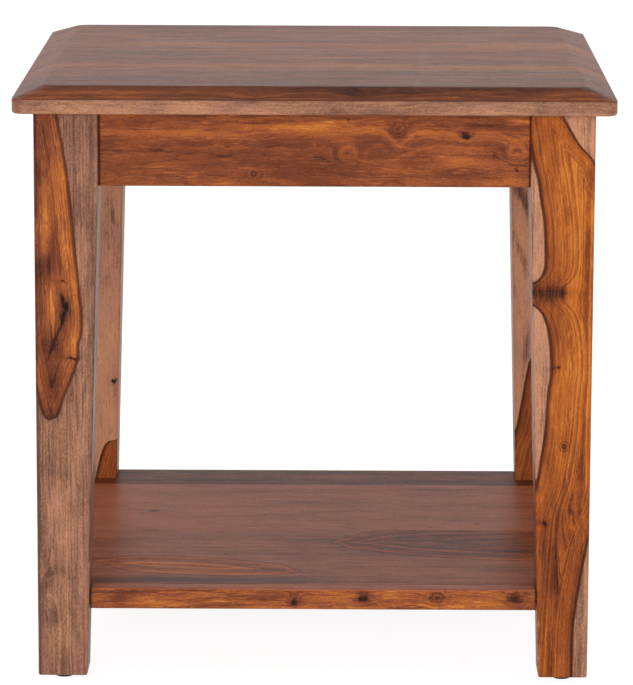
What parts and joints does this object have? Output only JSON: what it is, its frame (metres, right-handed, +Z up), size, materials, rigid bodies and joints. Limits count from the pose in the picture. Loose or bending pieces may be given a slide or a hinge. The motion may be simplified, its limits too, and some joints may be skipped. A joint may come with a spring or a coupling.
{
  "type": "end table",
  "caption": "Square solid-wood end table with a bevelled plank top on an apron frame, tapered square legs and a low notched shelf.",
  "frame": {"origin": "on the floor, under the centre of the top", "axes": "+Z up, +X to the right and the front facing -Y"},
  "size_m": [0.45, 0.45, 0.4579],
  "materials": {
    "lacquered_wood": "satin lacquer",
    "inner_wood": "sanded, thin lacquer",
    "dowel_wood": "plain",
    "glide_plastic": "matte",
    "fastener_steel": "zinc plated"
  },
  "bodies": {
    "root": {"leg_front_left": "lacquered_wood", "leg_front_right": "lacquered_wood", "leg_back_left": "lacquered_wood", "leg_back_right": "lacquered_wood", "apron_front": "lacquered_wood", "apron_back": "lacquered_wood", "apron_left": "lacquered_wood", "apron_right": "lacquered_wood", "top_plank_front": "lacquered_wood", "top_plank_second": "lacquered_wood", "top_plank_third": "lacquered_wood", "top_plank_back": "lacquered_wood", "shelf_front_strip": "lacquered_wood", "shelf_plank_front": "lacquered_wood", "shelf_plank_middle": "lacquered_wood", "shelf_plank_back": "lacquered_wood", "corner_block_front_left": "inner_wood", "corner_block_front_right": "inner_wood", "corner_block_back_left": "inner_wood", "corner_block_back_right": "inner_wood", "shelf_bearer_left": "inner_wood", "shelf_bearer_right": "inner_wood", "shelf_dowels": "dowel_wood", "foot_glide_front_left": "glide_plastic", "foot_glide_front_right": "glide_plastic", "foot_glide_back_left": "glide_plastic", "foot_glide_back_right": "glide_plastic", "corner_block_screws": "fastener_steel", "top_screws": "fastener_steel", "shelf_screws": "fastener_steel", "glide_nails": "fastener_steel"}
  },
  "joints": []
}
